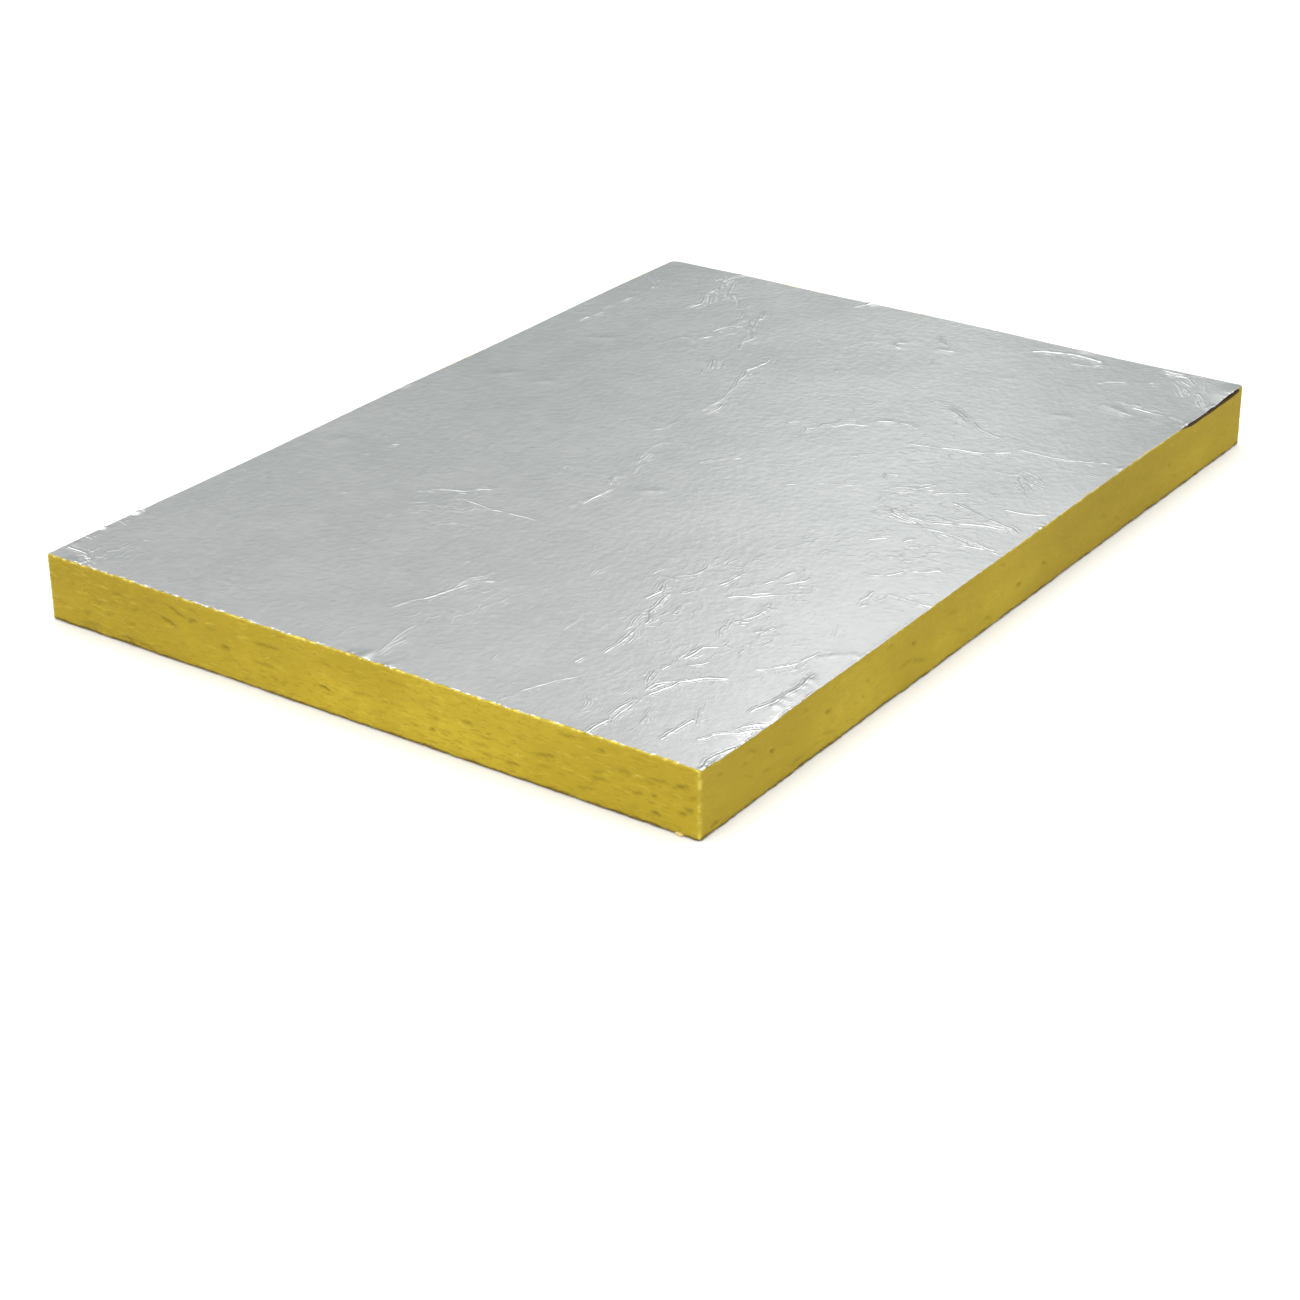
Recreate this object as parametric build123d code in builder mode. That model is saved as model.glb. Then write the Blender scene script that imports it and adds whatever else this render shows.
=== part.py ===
# Glass wool insulation slab with an aluminium foil facing bonded to its upper face.
#
# The slab lies flat with the foil up. +Z is up, the length runs along X and the width along Y,
# and the origin is at the centre of the underside. All sizes are in millimetres.

import os

from build123d import *

# Overall slab, as cut
slab_length = 840.0
slab_width = 600.0
slab_thickness = 54.0  # a nominal 50 mm slab, sprung up a little, facing included

# Facing: one sheet of foil laminate, trimmed flush with the four cut sides
foil_thickness = 0.2
foil_trim = 0.0  # how far the foil's edge stops short of the wool's sides

# Cut edges of the wool, rounded by handling
corner_radius = 2.5  # the four upright edges
arris_radius = 1.5  # the edge around the underside, where the fibres are crushed

wool_thickness = slab_thickness - foil_thickness


# Block of bonded glass wool, sawn on four sides, with the foil's seat as its sharp upper edge
with BuildPart() as wool_slab:
    with BuildSketch(Plane.XY):
        RectangleRounded(slab_length, slab_width, corner_radius)
    extrude(amount=wool_thickness)
    fillet(wool_slab.edges().group_by(Axis.Z)[0], radius=arris_radius)

wool_slab.part.label = "wool_slab"


# Foil facing, face to face with the top of the wool
with BuildPart() as foil_facing:
    with BuildSketch(Plane.XY.offset(wool_thickness)):
        RectangleRounded(
            slab_length - 2 * foil_trim,
            slab_width - 2 * foil_trim,
            corner_radius,
        )
    extrude(amount=foil_thickness)

foil_facing.part.label = "foil_facing"


os.makedirs("parts", exist_ok=True)
export_step(wool_slab.part, "parts/wool_slab.step")
export_step(foil_facing.part, "parts/foil_facing.step")
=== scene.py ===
import math
import random

import bpy
import numpy as np
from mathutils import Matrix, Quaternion, Vector


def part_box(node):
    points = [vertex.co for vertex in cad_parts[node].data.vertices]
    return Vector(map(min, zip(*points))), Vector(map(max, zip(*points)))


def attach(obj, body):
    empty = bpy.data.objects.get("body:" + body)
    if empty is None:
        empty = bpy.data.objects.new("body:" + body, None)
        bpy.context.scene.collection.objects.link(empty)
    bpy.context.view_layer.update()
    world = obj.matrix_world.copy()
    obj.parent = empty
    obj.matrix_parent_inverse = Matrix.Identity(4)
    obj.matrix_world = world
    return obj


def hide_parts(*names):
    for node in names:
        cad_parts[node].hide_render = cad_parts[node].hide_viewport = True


# Glass wool slab with an aluminium foil facing: the block of wool, the foil bonded on it,
# and the loose fibres of its cut edges. Places on the slab are in mm from its near-left
# corner: x along the near long side, y along the left end, z up from the underside.

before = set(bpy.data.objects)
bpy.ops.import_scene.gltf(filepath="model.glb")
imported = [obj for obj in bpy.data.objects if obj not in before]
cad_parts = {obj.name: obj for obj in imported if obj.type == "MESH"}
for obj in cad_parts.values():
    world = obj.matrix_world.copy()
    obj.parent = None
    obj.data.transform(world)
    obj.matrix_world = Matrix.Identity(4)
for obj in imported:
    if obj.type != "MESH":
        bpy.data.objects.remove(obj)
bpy.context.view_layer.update()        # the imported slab, which stays as it is
woolLow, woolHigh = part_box("wool_slab")
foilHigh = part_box("foil_facing")[1]

mm = 0.001
slabLength = (woolHigh.x - woolLow.x) / mm
slabWidth = (woolHigh.y - woolLow.y) / mm
woolTop = (woolHigh.z - woolLow.z) / mm
foilTop = (foilHigh.z - woolLow.z) / mm


def spot(x, y, z=0.0):      # a place on the slab, in metres in the frame
    return Vector((woolLow.x + x * mm, woolLow.y + y * mm, woolLow.z + z * mm))


def towards(azimuth, elevation):        # a direction, turned on from +X and lifted, in degrees
    turn, lift = math.radians(azimuth), math.radians(elevation)
    return Vector((math.cos(turn) * math.cos(lift), math.sin(turn) * math.cos(lift), math.sin(lift)))


# Camera, as the photograph was taken

photoView = {
    "lens": 79.5,           # mm, on a sensor of this width
    "sensor": 36.0,
    "azimuth": -144.92,     # degrees round from the slab's length to the camera
    "elevation": 26.42,
    "roll": -0.244,
    "aim": (126.3, 128.5),  # the place on the foil in the middle of the picture
    "distance": 2.0314,     # m from there to the lens
}


def addCamera(view):
    back = towards(view["azimuth"], view["elevation"])
    aim = spot(*view["aim"], foilTop)
    bpy.ops.object.camera_add(location=aim + back * view["distance"])
    camera = bpy.context.object
    camera.name = "photo_camera"
    camera.data.lens = view["lens"]
    camera.data.sensor_width = view["sensor"]
    camera.rotation_mode = "QUATERNION"
    level = (-back).to_track_quat("-Z", "Y")
    camera.rotation_quaternion = level @ Quaternion((0, 0, 1), math.radians(view["roll"]))
    bpy.context.scene.camera = camera
    print("camera: in place")


addCamera(photoView)


# Shader maths as Python expressions

class Signal:               # one output of a node, carrying a value over the surface
    def __init__(self, finish, output):
        self.finish = finish
        self.output = output

    def maths(self, operation, first, second):
        return self.finish.node("ShaderNodeMath", {"operation": operation}, {0: first, 1: second})

    def __add__(self, other):
        return self.maths("ADD", self, other)

    def __radd__(self, other):
        return self.maths("ADD", other, self)

    def __sub__(self, other):
        return self.maths("SUBTRACT", self, other)

    def __rsub__(self, other):
        return self.maths("SUBTRACT", other, self)

    def __mul__(self, other):
        return self.maths("MULTIPLY", self, other)

    def __rmul__(self, other):
        return self.maths("MULTIPLY", other, self)

    def __pow__(self, other):
        return self.maths("POWER", self, other)

    def __abs__(self):
        return self.maths("ABSOLUTE", self, 0.0)


class Finish:               # a node tree being filled, for a material or the surroundings
    def __init__(self, tree):
        self.tree = tree
        self.tree.nodes.clear()

    def node(self, kind, settings=None, sockets=None, output=0):
        made = self.tree.nodes.new(kind)
        for name, value in (settings or {}).items():
            setattr(made, name, value)
        for name, value in (sockets or {}).items():
            if isinstance(value, Signal):
                self.tree.links.new(value.output, made.inputs[name])
            else:
                made.inputs[name].default_value = value
        return Signal(self, made.outputs[output]) if made.outputs else None

    def places(self):       # object coordinates
        return self.node("ShaderNodeTexCoord", output=3)

    def attribute(self, name):
        return self.node("ShaderNodeAttribute", {"attribute_name": name}, output=2)

    def mix(self, factor, first, second):       # colours, by factor
        return self.node("ShaderNodeMix", {"data_type": "RGBA"}, {0: factor, 6: first, 7: second}, 2)

    def layers(self, colour, laid):     # further colours laid over the first, each by its factor
        for factor, tint in laid:
            colour = self.mix(factor, colour, tint)
        return colour

    def stretched(self, place, scale, turn=0.0):    # places turned by some degrees, then scaled
        if turn:
            rotation = (0, 0, math.radians(turn))
            place = self.node("ShaderNodeMapping", {}, {"Vector": place, "Rotation": rotation})
        return self.node("ShaderNodeMapping", {}, {"Vector": place, "Scale": scale})

    def fractal(self, place, scale, detail=3.0, roughness=0.5):
        values = {"Vector": place, "Scale": scale, "Detail": detail, "Roughness": roughness}
        return self.node("ShaderNodeTexNoise", {}, values)

    def step(self, value, low, high):           # 0 below low, 1 above high, smooth between
        values = {"Value": value, "From Min": low, "From Max": high}
        return self.node("ShaderNodeMapRange", {"interpolation_type": "SMOOTHSTEP"}, values)

    def bump(self, height, distance, strength):
        return self.node("ShaderNodeBump", {}, {"Height": height, "Distance": distance, "Strength": strength})

    def surface(self, values):
        shader = self.node("ShaderNodeBsdfPrincipled", {}, values)
        self.node("ShaderNodeOutputMaterial", {}, {"Surface": shader})


def newMaterial(name):
    material = bpy.data.materials.new(name)
    material.use_nodes = True
    return material, Finish(material.node_tree)


# Surroundings: a pale floor, an even grey room and large soft lights

room = {
    # colours of the room from low to high, and the heights between which each takes over
    # from the one before: the sine of the elevation
    "horizon": (0.56, 0.56, 0.56, 1.0),
    "lowWall": (0.395, 0.428, 0.426, 1.0),
    "wall": (0.600, 0.607, 0.598, 1.0),
    "overhead": (2.25, 2.25, 2.24, 1.0),
    "rises": {"lowWall": (0.01, 0.12), "wall": (0.31, 0.46), "overhead": (0.52, 0.84)},
    # glows on the wall, as of distant lamps: azimuth from the slab's length, elevation,
    # half width in degrees, and strength
    "glows": [
        (28.5, 21.0, 4.0, 0.16), (29.5, 25.5, 3.8, 0.44), (31.0, 32.0, 4.6, 0.34),
        (9.0, 28.0, 6.5, 0.9), (14.5, 19.0, 3.4, 0.2),
    ],
    "floorColours": ((0.88, 0.88, 0.875, 1.0), (0.8976, 0.8976, 0.8925, 1.0)),
    "floorSize": 30.0,      # m
    "floorGap": 0.3,        # mm that the floor lies below the slab
}

softboxes = [
    # name, place and aim in m, width and height in m, watts, colour
    ("overhead_softbox", (-0.2, 0.3, 2.6), (0.0, 0.0, 0.0), (2.2, 1.8), 4.0, (1.0, 1.0, 1.0)),
    ("left_fill", (-2.5, -0.2, 0.75), (-0.4, -0.2, 0.0), (1.4, 1.0), 13.0, (1.0, 0.99, 0.97)),
]


def addRoom(settings):
    world = bpy.data.worlds.new("studio")
    world.use_nodes = True
    bpy.context.scene.world = world
    sky = Finish(world.node_tree)
    place = sky.node("ShaderNodeTexCoord", output=0)
    height = sky.node("ShaderNodeSeparateXYZ", {}, {0: place}, 2)
    rises = [(sky.step(height, *rise), settings[name]) for name, rise in settings["rises"].items()]
    colour = sky.layers(settings["horizon"], rises)
    strength = 1.0
    for azimuth, elevation, half, power in settings["glows"]:
        sockets = {0: place, 1: towards(azimuth, elevation)}
        facing = sky.node("ShaderNodeVectorMath", {"operation": "DOT_PRODUCT"}, sockets, 1)
        narrow = 2 / math.radians(half) ** 2
        strength = strength + power / settings["wall"][1] * facing.maths("MAXIMUM", facing, 0.0) ** narrow
    light = sky.node("ShaderNodeBackground", {}, {"Color": colour, "Strength": strength})
    sky.node("ShaderNodeOutputWorld", {}, {"Surface": light})


def addLamps(lamps):
    for name, place, aim, size, power, colour in lamps:
        bpy.ops.object.light_add(type="AREA", location=place)
        lamp = bpy.context.object
        lamp.name = name
        lamp.data.shape = "RECTANGLE"
        lamp.data.size, lamp.data.size_y = size
        lamp.data.energy = power
        lamp.data.color = colour
        lamp.rotation_euler = (Vector(aim) - Vector(place)).to_track_quat("-Z", "Y").to_euler()
        lamp.visible_camera = False


def addFloor(settings):
    level = woolLow.z - settings["floorGap"] * mm
    bpy.ops.mesh.primitive_plane_add(size=settings["floorSize"], location=(0, 0, level))
    floor = bpy.context.object
    floor.name = "studio_floor"
    material, finish = newMaterial("pale_floor")
    tone = finish.mix(finish.fractal(finish.places(), 1.4, 4.0), *settings["floorColours"])
    finish.surface({"Base Color": tone, "Roughness": 0.75})
    floor.data.materials.append(material)


addRoom(room)
addLamps(softboxes)
addFloor(room)
bpy.context.scene.view_settings.view_transform = "Standard"
print("surroundings: floor and", len(softboxes), "soft lights")


# Working by hand: one piece at a time, in edit mode by place

def only(piece):            # this piece selected and active, nothing else
    if bpy.context.object and bpy.context.object.mode != "OBJECT":
        bpy.ops.object.mode_set(mode="OBJECT")
    bpy.ops.object.select_all(action="DESELECT")
    piece.select_set(True)
    bpy.context.view_layer.objects.active = piece


def edit(piece, kind, action):      # in edit mode by points, edges or faces, with all or none selected
    only(piece)
    bpy.ops.object.mode_set(mode="EDIT")
    bpy.ops.mesh.select_mode(type=kind)
    bpy.ops.mesh.select_all(action=action)


def finishEdit():
    bpy.ops.object.mode_set(mode="OBJECT")


def settle(piece, name, scale):     # names and scales a new piece, and leaves it at the origin
    piece.name = name
    piece.scale = scale
    bpy.ops.object.transform_apply(location=True, rotation=True, scale=True)
    return piece


def readAll(parts, name, width, kind=np.float32):      # a row of values for each part
    flat = np.zeros(len(parts) * width, kind)
    parts.foreach_get(name, flat)
    return flat.reshape(-1, width)


def toSlab(places):         # metres in the frame to mm from the near-left corner
    return (places.astype(float) - np.array(woolLow)) / mm


def pointsOf(piece):
    return toSlab(readAll(piece.data.vertices, "co", 3))


def faceCentres(piece):
    return toSlab(readAll(piece.data.polygons, "center", 3))


def edgeEnds(piece):        # the two ends of each edge
    points = pointsOf(piece)
    return points[readAll(piece.data.edges, "vertices", 2, np.int32)].transpose(1, 0, 2)


def pick(piece, kind, chosen):      # selects its points, edges or faces where chosen is true
    edit(piece, "VERT", "DESELECT")
    bpy.ops.mesh.select_mode(type=kind)
    finishEdit()
    parts = {"VERT": piece.data.vertices, "EDGE": piece.data.edges, "FACE": piece.data.polygons}[kind]
    parts.foreach_set("select", np.asarray(chosen, bool))
    bpy.ops.object.mode_set(mode="EDIT")


def selectOpenEdges():
    bpy.ops.mesh.select_all(action="DESELECT")
    bpy.ops.mesh.select_non_manifold(extend=False, use_wire=False, use_multi_face=False,
                                     use_non_contiguous=False, use_verts=False)


def faceOutward(piece):
    edit(piece, "FACE", "SELECT")
    bpy.ops.mesh.normals_make_consistent(inside=False)
    finishEdit()


def paintGroup(piece, name, weights):       # a vertex group with these weights, 0 to 1
    fineness = 2000
    group = piece.vertex_groups.new(name=name)
    steps = np.round(np.clip(weights, 0, 1) * fineness).astype(int)
    order = np.argsort(steps, kind="stable")
    levels, starts = np.unique(steps[order], return_index=True)
    for level, members in zip(levels, np.split(order, starts[1:])):
        if level:
            group.add(members.tolist(), level / fineness, "REPLACE")
    return name


def applyModifier(piece, kind, **values):
    only(piece)
    bpy.ops.object.modifier_add(type=kind)
    change = piece.modifiers[-1]
    for name, value in values.items():
        setattr(change, name, value)
    bpy.ops.object.modifier_apply(modifier=change.name)


def displace(piece, strength, direction="NORMAL", group="", texture=None, middle=0.5, guide=None):
    values = {"strength": strength * mm, "direction": direction, "vertex_group": group, "texture": texture}
    if guide:
        values.update(texture_coords="OBJECT", texture_coords_object=guide)
    applyModifier(piece, "DISPLACE", mid_level=middle if texture else 0.0, **values)


def shift(piece, axis, amounts):     # moves its points along an axis, each by its own mm
    most = max(np.abs(amounts).max(), 1e-6)
    for sign, name in ((1, "onward"), (-1, "backward")):
        group = paintGroup(piece, name + axis, sign * amounts / most)
        displace(piece, sign * most, axis, group)
        piece.vertex_groups.remove(piece.vertex_groups[group])


def clouds(name, size, depth=2):
    texture = bpy.data.textures.new(name, "CLOUDS")
    texture.noise_scale = size
    texture.noise_depth = depth
    return texture


def stretchGuide(name, height):         # an empty whose scale flattens a texture
    bpy.ops.object.empty_add(location=(0.13, 0.07, 0.0))
    guide = bpy.context.object
    guide.name = name
    guide.scale = (1.0, 1.0, height)
    bpy.context.view_layer.update()
    return guide


def remove(*helpers):
    for helper in helpers:
        bpy.data.objects.remove(helper)


def keepAttributes(piece, **fields):    # values on its points, for the material
    for name, values in fields.items():
        attribute = piece.data.attributes.new(name, "FLOAT", "POINT")
        attribute.data.foreach_set("value", np.asarray(values, np.float32))


def smooth(piece, angle):
    only(piece)
    bpy.ops.object.shade_smooth_by_angle(angle=math.radians(angle))


def fade(distance, reach):          # 1 at no distance, 0 from reach on, rounded
    near = np.clip(1 - np.abs(distance) / reach, 0, 1)
    return near * near * (3 - 2 * near)


def ridge(distance, half):          # 1 at no distance, and a bell of that half width
    return np.exp(-((distance / half) ** 2))


outward = {"leftEnd": ("X", -1), "rightEnd": ("X", 1), "nearSide": ("Y", -1), "farSide": ("Y", 1)}


def fromSide(x, y, side, setback=0.0):      # distance in from a side, and place along it
    return {
        "leftEnd": (x - setback, y),
        "nearSide": (y - setback, x),
        "rightEnd": (slabLength - setback - x, y),
        "farSide": (slabWidth - setback - y, x),
    }[side]


def fromEdges(x, y, setback=0.0):           # distance in from the nearest side
    return np.minimum.reduce([fromSide(x, y, side, setback)[0] for side in outward])


# The slab isn't quite even: how far its upper edges stand above or below their mean

unevenness = {
    # rise in mm at even steps from the near-left corner
    "nearSide": (-0.6, -0.9, -1.3, -0.8, -0.4, 0.4, 0.3, 0.3, 1.4, 1.1, 0.9, -0.8, 0.5),
    "leftEnd": (-0.6, 0.4, -0.6, -1.2, 0.1, 0.2, 0.0, 0.4, 0.7, 1.1, 0.3),
    "farSide": (0.3, 0.6, 0.1, -0.5, -0.2, 0.4, 0.7, 0.2, -0.4, 0.0, 0.5, 0.2, -0.8),
    "rightEnd": (0.5, 0.1, -0.6, -0.3, 0.5, 0.8, 0.2, -0.4, 0.1, 0.3, -0.8),
    "middle": 0.3,          # mm either way, over the broad face
    "gain": 1.35,           # the lattice smooths its points, so they move further
    "waves": {"height": 0.4, "size": 0.085, "margin": 40.0, "least": 0.25},     # mm, m, mm and share
    "seed": 7,
}


def addLattice(settings):
    rng = random.Random(settings["seed"])
    columns, rows = len(settings["nearSide"]), len(settings["leftEnd"])
    bpy.ops.object.add(type="LATTICE", location=(woolLow + foilHigh) / 2)
    lattice = bpy.context.object
    lattice.data.points_u, lattice.data.points_v, lattice.data.points_w = columns, rows, 2
    lattice.scale = (slabLength * mm, slabWidth * mm, foilTop * mm)
    for row in range(rows):
        for column in range(columns):
            rise = rng.uniform(-1, 1) * settings["middle"]
            if row in (0, rows - 1):
                rise = settings["farSide" if row else "nearSide"][column]
            if column in (0, columns - 1):
                rise = settings["rightEnd" if column else "leftEnd"][row]
            point = lattice.data.points[(rows + row) * columns + column]
            point.co_deform.z += rise * settings["gain"] / foilTop
    return lattice


def waveTop(piece, settings, lattice):      # slow waves of the top, then its uneven edges
    x, y, z = pointsOf(piece).T
    waves = settings["waves"]
    weights = (z > woolTop - 3) * np.clip(fromEdges(x, y) / waves["margin"], waves["least"], 1)
    group = paintGroup(piece, "waved", weights)
    displace(piece, waves["height"], "Z", group, clouds("slow_waves", waves["size"], 1))
    applyModifier(piece, "LATTICE", object=lattice)


# Wool block

wool = {
    "columnStep": 2.2,      # mm between points along a cut side
    "layerStep": 1.2,       # mm between points up a cut side, finer: the fibres lie in layers
    "faceStep": 9.0,        # mm between points on the broad faces
    "faceMargin": 7.0,      # mm from the sides to the broad faces' own grid
    "corner": 2.5,          # radius of the upright edges
    "arris": 1.3,           # radius of the upper and lower edges
    "underFoil": 0.9,       # mm that the wool lies lower under the foil, away from its edges
    "strata": 0.55,         # mm of relief along the layers
    "tufting": 0.35,        # mm of fine relief
    "bow": 1.0,             # mm that the cut wanders
    "pitDepth": 1.5,
    "ragged": 1.5,          # mm of raggedness at the lower edge
    "skin": 2.6,            # mm in from a side that still count as its face
    "crushDepth": 1.2,
    # where the far end of the near side was crushed, the wool falls away from the foil:
    # centre, half length and strength
    "crushed": [(811, 34, 1.0), (776, 32, 0.72), (746, 30, 0.62)],
    "shadowSeam": (768, 50),      # and the middle of the painted shadow line under the foil there, and its reach
    # where the cut sides are darker: centre along the side, half length and strength
    "darkEnd": [(slabWidth, 330, 1.0)],
    "darkSide": [(610, 330, 1.0), (800, 200, 0.7)],
}
# Where the foil and the wool under it roll down to the near side: centre along it, half length,
# mm of drop, and how far in it starts
rolledEdges = [(58, 72, 1.5, 8.0), (96, 44, 0.6, 5.0), (230, 120, 0.45, 4.0), (6, 16, 0.8, 4.0)]


def strongest(along, spots):        # the largest of several soft spots: centre, half length, strength
    return np.maximum.reduce([strength * fade(along - centre, half) for centre, half, strength in spots])


def rolledDown(x, y):
    drops = np.zeros(len(x))
    for centre, half, drop, reach in rolledEdges:
        drops += drop * fade(x - centre, half) * fade(np.maximum(y, 0), reach)
    return drops


# Torn-out spots and dark streaks of the two sides that show, dug in and darkened with painted
# shade: distance along the side from left to right as it is seen, height, length, thickness,
# slope (rise over run) and strength
placedPits = {
    "leftEnd": [
        (72, 39, 8, 2.0, 0.1, 0.7), (108, 44, 11, 2.2, 0.0, 0.5), (133, 41, 18, 2.6, -0.32, 0.9),
        (148, 38, 10, 2.4, 0.1, 1.0), (124, 31, 15, 3.0, -0.25, 1.0), (180, 25, 8, 3.4, 0.0, 1.0),
        (39, 15, 7, 3.2, 0.3, 0.7), (52, 27, 10, 4.0, 0.2, 0.5), (66, 31, 9, 2.2, 0.1, 0.5),
        (63, 20, 12, 4.0, 0.2, 0.4), (85, 18, 10, 2.4, 0.1, 0.5), (90, 31, 8, 3.4, 0.6, 0.5),
        (105, 21, 7, 3.0, 0.2, 0.5), (80, 5, 12, 2.0, 0.05, 0.9), (98, 4, 18, 2.4, -0.15, 0.7),
        (167, 37, 10, 2.0, 0.1, 0.6), (149, 47, 8, 2.0, 0.0, 0.5), (185, 16, 18, 1.8, 0.1, 0.4),
        (12, 17, 12, 2.0, 0.1, 0.3), (42, 6, 20, 4.5, 0.1, 0.5), (222, 38, 24, 2.2, 0.06, 0.8),
        (216, 22, 20, 2.2, 0.06, 0.5), (275, 20, 12, 2.2, -0.15, 1.0), (228, 13, 6, 2.4, 0.0, 0.6),
        (217, 12, 8, 1.8, 0.0, 0.4), (250, 20, 12, 2.0, 0.0, 0.3), (310, 25, 12, 2.0, 0.15, 0.6),
        (300, 18, 14, 3.0, 0.1, 0.3), (331, 25, 6, 1.8, 0.1, 0.6), (374, 16, 5, 2.6, 0.1, 1.0),
        (378, 26, 5, 2.2, 0.3, 0.7), (358, 15, 10, 2.0, 0.1, 0.5), (387, 18, 10, 2.6, 0.1, 0.3),
        (363, 35, 20, 3.0, 0.1, 0.3), (345, 43, 20, 2.0, 0.04, 0.5), (248, 43, 9, 2.0, 0.1, 0.5),
        (275, 40, 16, 4.0, 0.1, 0.3), (308, 38, 13, 2.2, 0.15, 0.3), (325, 15, 14, 3.2, 0.0, 0.3),
        (405, 31, 10, 2.4, 0.1, 0.7), (422, 24, 12, 2.0, 0.05, 0.6), (417, 17, 15, 2.0, 0.05, 0.5),
        (422, 11, 8, 2.0, 0.05, 0.6), (444, 11, 13, 2.2, 0.05, 0.8), (445, 27, 10, 1.8, 0.4, 0.4),
        (472, 26, 17, 2.6, 0.18, 0.8), (472, 17, 12, 2.2, 0.1, 0.4), (492, 47, 16, 2.0, 0.1, 0.7),
        (520, 44, 7, 2.4, 0.0, 0.8), (538, 34, 12, 3.4, 0.2, 0.6), (517, 27, 9, 2.0, 0.1, 0.5),
        (517, 22, 15, 2.2, 0.05, 0.6), (507, 11, 15, 2.2, 0.18, 0.6), (550, 21, 8, 2.2, 0.1, 0.7),
        (563, 23, 4, 2.4, 0.1, 1.0), (564, 10, 7, 2.8, 0.1, 1.0), (562, 18, 6, 2.0, 0.1, 0.6),
        (584, 37, 11, 2.2, 0.45, 0.9), (594, 31, 6, 2.4, 0.2, 0.7), (568, 36, 14, 1.8, 0.12, 0.6),
        (560, 32, 7, 2.0, 0.1, 0.6), (591, 21, 7, 4.0, 0.2, 0.9), (586, 17, 6, 3.2, 0.2, 0.9),
        (550, 47, 12, 2.0, 0.0, 0.4), (546, 9, 8, 2.0, 0.4, 0.5), (577, 28, 12, 1.8, 0.1, 0.4),
    ],
    "nearSide": [
        (87, 30, 5, 3.0, -0.3, 1.0), (63, 41, 8, 2.2, -0.5, 0.6), (23, 41, 6, 2.0, -0.4, 0.5),
        (53, 36, 5, 2.2, -0.4, 0.5), (130, 43, 4, 2.4, 0.0, 0.5), (160, 29, 8, 3.4, -0.3, 0.8),
        (207, 20, 6, 2.2, -0.3, 0.5), (80, 18, 9, 2.2, -0.2, 0.4), (17, 6, 9, 3.0, 0.0, 0.7),
        (57, 24, 12, 1.8, -0.5, 0.3), (107, 26, 14, 2.0, -0.4, 0.3), (160, 12, 16, 2.4, -0.3, 0.4),
        (277, 34, 5, 2.6, -0.2, 1.0), (267, 22, 18, 3.4, 0.0, 0.5), (285, 17, 18, 3.4, -0.35, 0.5),
        (213, 30, 5, 2.2, -0.3, 0.6), (347, 16, 14, 2.2, -0.4, 0.4), (318, 25, 10, 2.0, -0.4, 0.3),
        (333, 36, 12, 2.0, -0.2, 0.4), (388, 10, 9, 2.2, -0.2, 0.6), (373, 25, 12, 2.4, -0.3, 0.3),
        (243, 45, 9, 2.4, 0.0, 0.5), (409, 46, 8, 2.0, -0.2, 0.5), (437, 19, 7, 3.0, -0.2, 0.8),
        (478, 22, 6, 2.6, -0.2, 0.7), (442, 32, 12, 2.2, -0.3, 0.3), (512, 30, 16, 2.0, -0.3, 0.3),
        (577, 25, 12, 4.0, -0.2, 0.4), (603, 14, 10, 3.0, -0.3, 0.3), (570, 42, 12, 2.2, -0.3, 0.3),
        (698, 28, 8, 2.6, -0.2, 0.5), (710, 14, 10, 2.4, -0.3, 0.3), (652, 31, 12, 2.4, -0.3, 0.3),
        (802, 21, 14, 2.6, -0.3, 0.3), (750, 40, 10, 2.0, -0.3, 0.3), (120, 8, 12, 2.4, 0.0, 0.5),
    ],
}
# and of the two sides that the photograph hides
scattered = {
    "ends": 6.0,                # mm kept free of them at either end
    "heights": (5, 48),
    "clustered": 0.6,           # the share that lie close to the one before
    "spread": (20, 9),          # mm along and up that a cluster reaches
    "lengths": (4, 17),
    "thicknesses": (1.6, 3.2),
    "slopes": (-0.3, 0.3),
    "strengths": (0.25, 1.0),
    "rarity": 1.8,              # strong ones are rarer than faint ones
    "sides": {"rightEnd": (72, slabWidth, 21), "farSide": (86, slabLength, 22)},    # count, length, seed
}


def scatterPits(settings, side):
    count, length, seed = settings["sides"][side]
    rng = random.Random(seed)
    low, high = settings["heights"]
    pits = []
    for _ in range(count):
        place, height = rng.uniform(settings["ends"], length - settings["ends"]), rng.uniform(low, high)
        if pits and rng.random() < settings["clustered"]:
            along, up = settings["spread"]
            place, height = pits[-1][0] + rng.uniform(-along, along), pits[-1][1] + rng.uniform(-up, up)
        pits.append((
            place, min(max(height, low - 1), high + 1), rng.uniform(*settings["lengths"]),
            rng.uniform(*settings["thicknesses"]), rng.uniform(*settings["slopes"]),
            rng.uniform(*settings["strengths"]) ** settings["rarity"],
        ))
    return pits


def pitWeights(x, y, z, skin):
    weights = np.zeros(len(x))
    everyPit = dict(placedPits)
    for side in scattered["sides"]:
        everyPit[side] = scatterPits(scattered, side)
    for side, pits in everyPit.items():
        depth, along = fromSide(x, y, side)
        if side in ("leftEnd", "farSide"):      # from left to right, as each side is seen
            along = {"leftEnd": slabWidth, "farSide": slabLength}[side] - along
        for place, height, length, thick, slope, strength in pits:
            run = along - place
            rise = z - height - slope * run + 0.5 * np.sin(run * 0.9 + place)       # streaks wander
            shape = np.exp(-((run / (0.5 * length)) ** 4) - (rise / (0.5 * thick)) ** 2)
            weights = np.maximum(weights, np.where(depth < skin, strength * shape, 0))
    return weights


def cutEdges(total):        # even cuts of the selected edges: the operator makes 100 at the most
    first = max(1, round(math.sqrt(total)))
    bpy.ops.mesh.subdivide(number_cuts=first - 1)
    bpy.ops.mesh.subdivide(number_cuts=max(1, round(total / first)) - 1)


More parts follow.
